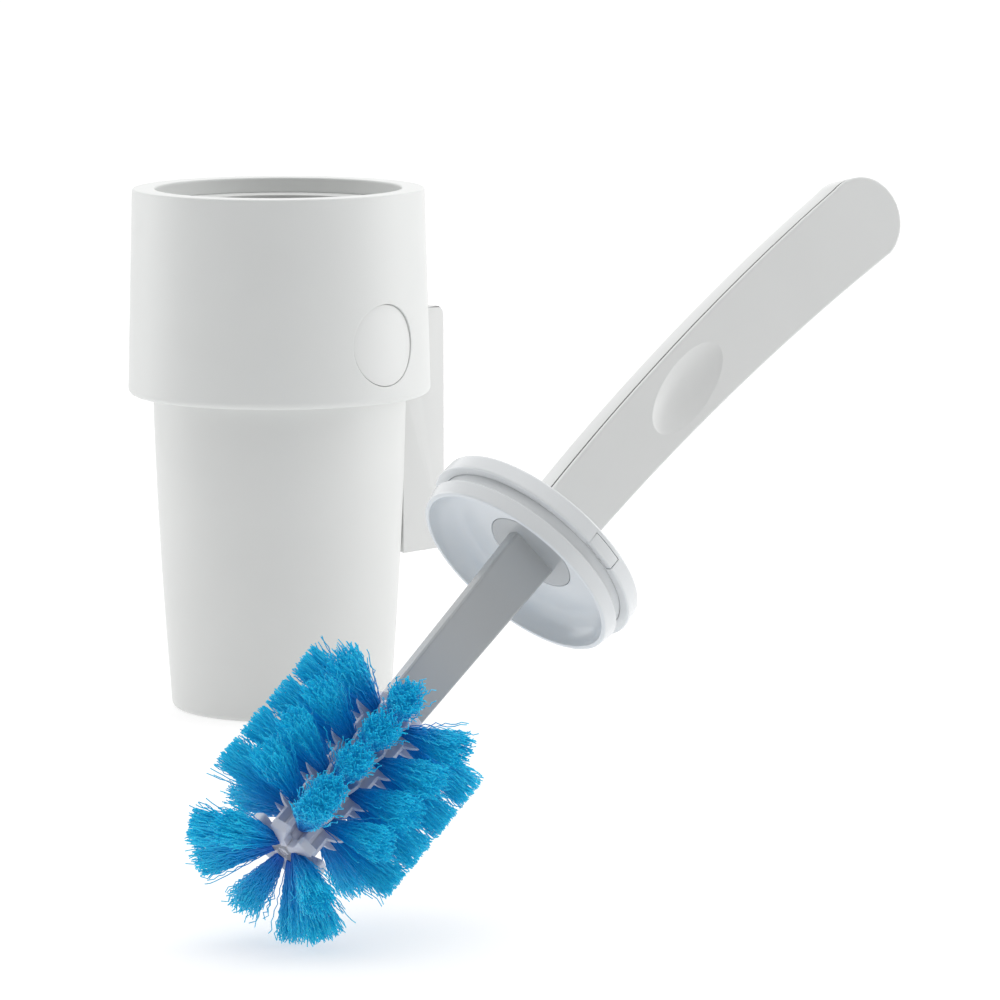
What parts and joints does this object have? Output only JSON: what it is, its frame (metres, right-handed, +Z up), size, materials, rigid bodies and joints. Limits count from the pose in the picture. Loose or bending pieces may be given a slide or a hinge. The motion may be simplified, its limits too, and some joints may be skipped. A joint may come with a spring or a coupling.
{
  "type": "toilet brush holder",
  "caption": "Cup with a thick sleeve collar, round push button and wall bracket, with its lidded, blade-handled brush lying out in front.",
  "frame": {"origin": "centre of the cup's flat base, on the floor", "axes": "+Z up along the cup's axis, +Y to the wall side, +X to the side of the round button"},
  "size_m": [0.4199, 0.4022, 0.2333],
  "materials": {
    "collar_white": "fine satin moulded plastic",
    "cup_white": "fine satin moulded plastic",
    "button_white": "satin moulded plastic",
    "inner_grey": "moulded plastic, unseen inside",
    "bracket_grey": "matt moulded plastic",
    "steel": "drawn wire and pin",
    "lid_white": "semi-gloss moulded plastic",
    "stem_white": "satin moulded plastic",
    "handle_white": "satin moulded plastic",
    "core_white": "moulded plastic, faintly blue between the bristles",
    "bristle_blue": "crimped nylon filaments, deeper blue at the root"
  },
  "bodies": {
    "wall_bracket": {"wall_bracket": "bracket_grey", "wall_plate": "bracket_grey"},
    "cup": {"cup": "cup_white", "seat_ring": "cup_white"},
    "collar": {"collar": "collar_white", "collar_base_ring": "collar_white", "button_guide": "inner_grey", "button_spring": "steel"},
    "release_button": {"release_button": "button_white"},
    "brush_head": {"brush_core": "core_white", "bristle_row_1": "bristle_blue", "bristle_row_2": "bristle_blue", "bristle_row_3": "bristle_blue", "bristle_row_4": "bristle_blue", "bristle_row_5": "bristle_blue", "bristle_row_6": "bristle_blue", "bristle_row_7": "bristle_blue", "bristle_row_8": "bristle_blue"},
    "brush_handle": {"lid_plug": "lid_white", "lid_cap": "lid_white", "lid_key": "lid_white", "stem": "stem_white", "cross_pin": "steel", "handle_back": "handle_white", "handle_front": "handle_white"}
  },
  "joints": [
    {"name": "holder_lift", "type": "slide", "parent": "wall_bracket", "child": "cup", "axis": [0, 0, 1], "range_m": [0, 0.2598]},
    {"name": "collar_lift", "type": "slide", "parent": "cup", "child": "collar", "axis": [0, 0, 1], "range_m": [0, 0.085]},
    {"name": "button_press", "type": "slide", "parent": "collar", "child": "release_button", "axis": [-1, 0, 0], "range_m": [0, 0.002], "stiffness_N_per_m": 400, "springref_m": -0.003, "deforming": ["button_spring"]},
    {"name": "brush_swing", "type": "hinge", "parent": "wall_bracket", "child": "brush_head", "pos_m": [-0.10326, -0.51786, 0.28779], "axis": [0.7698, 0.1859, 0.6107], "range_deg": [0, 64.51]},
    {"name": "handle_pull", "type": "slide", "parent": "brush_head", "child": "brush_handle", "axis": [0.1, 0.7595, 0.6428], "range_m": [0, 0.04]}
  ]
}
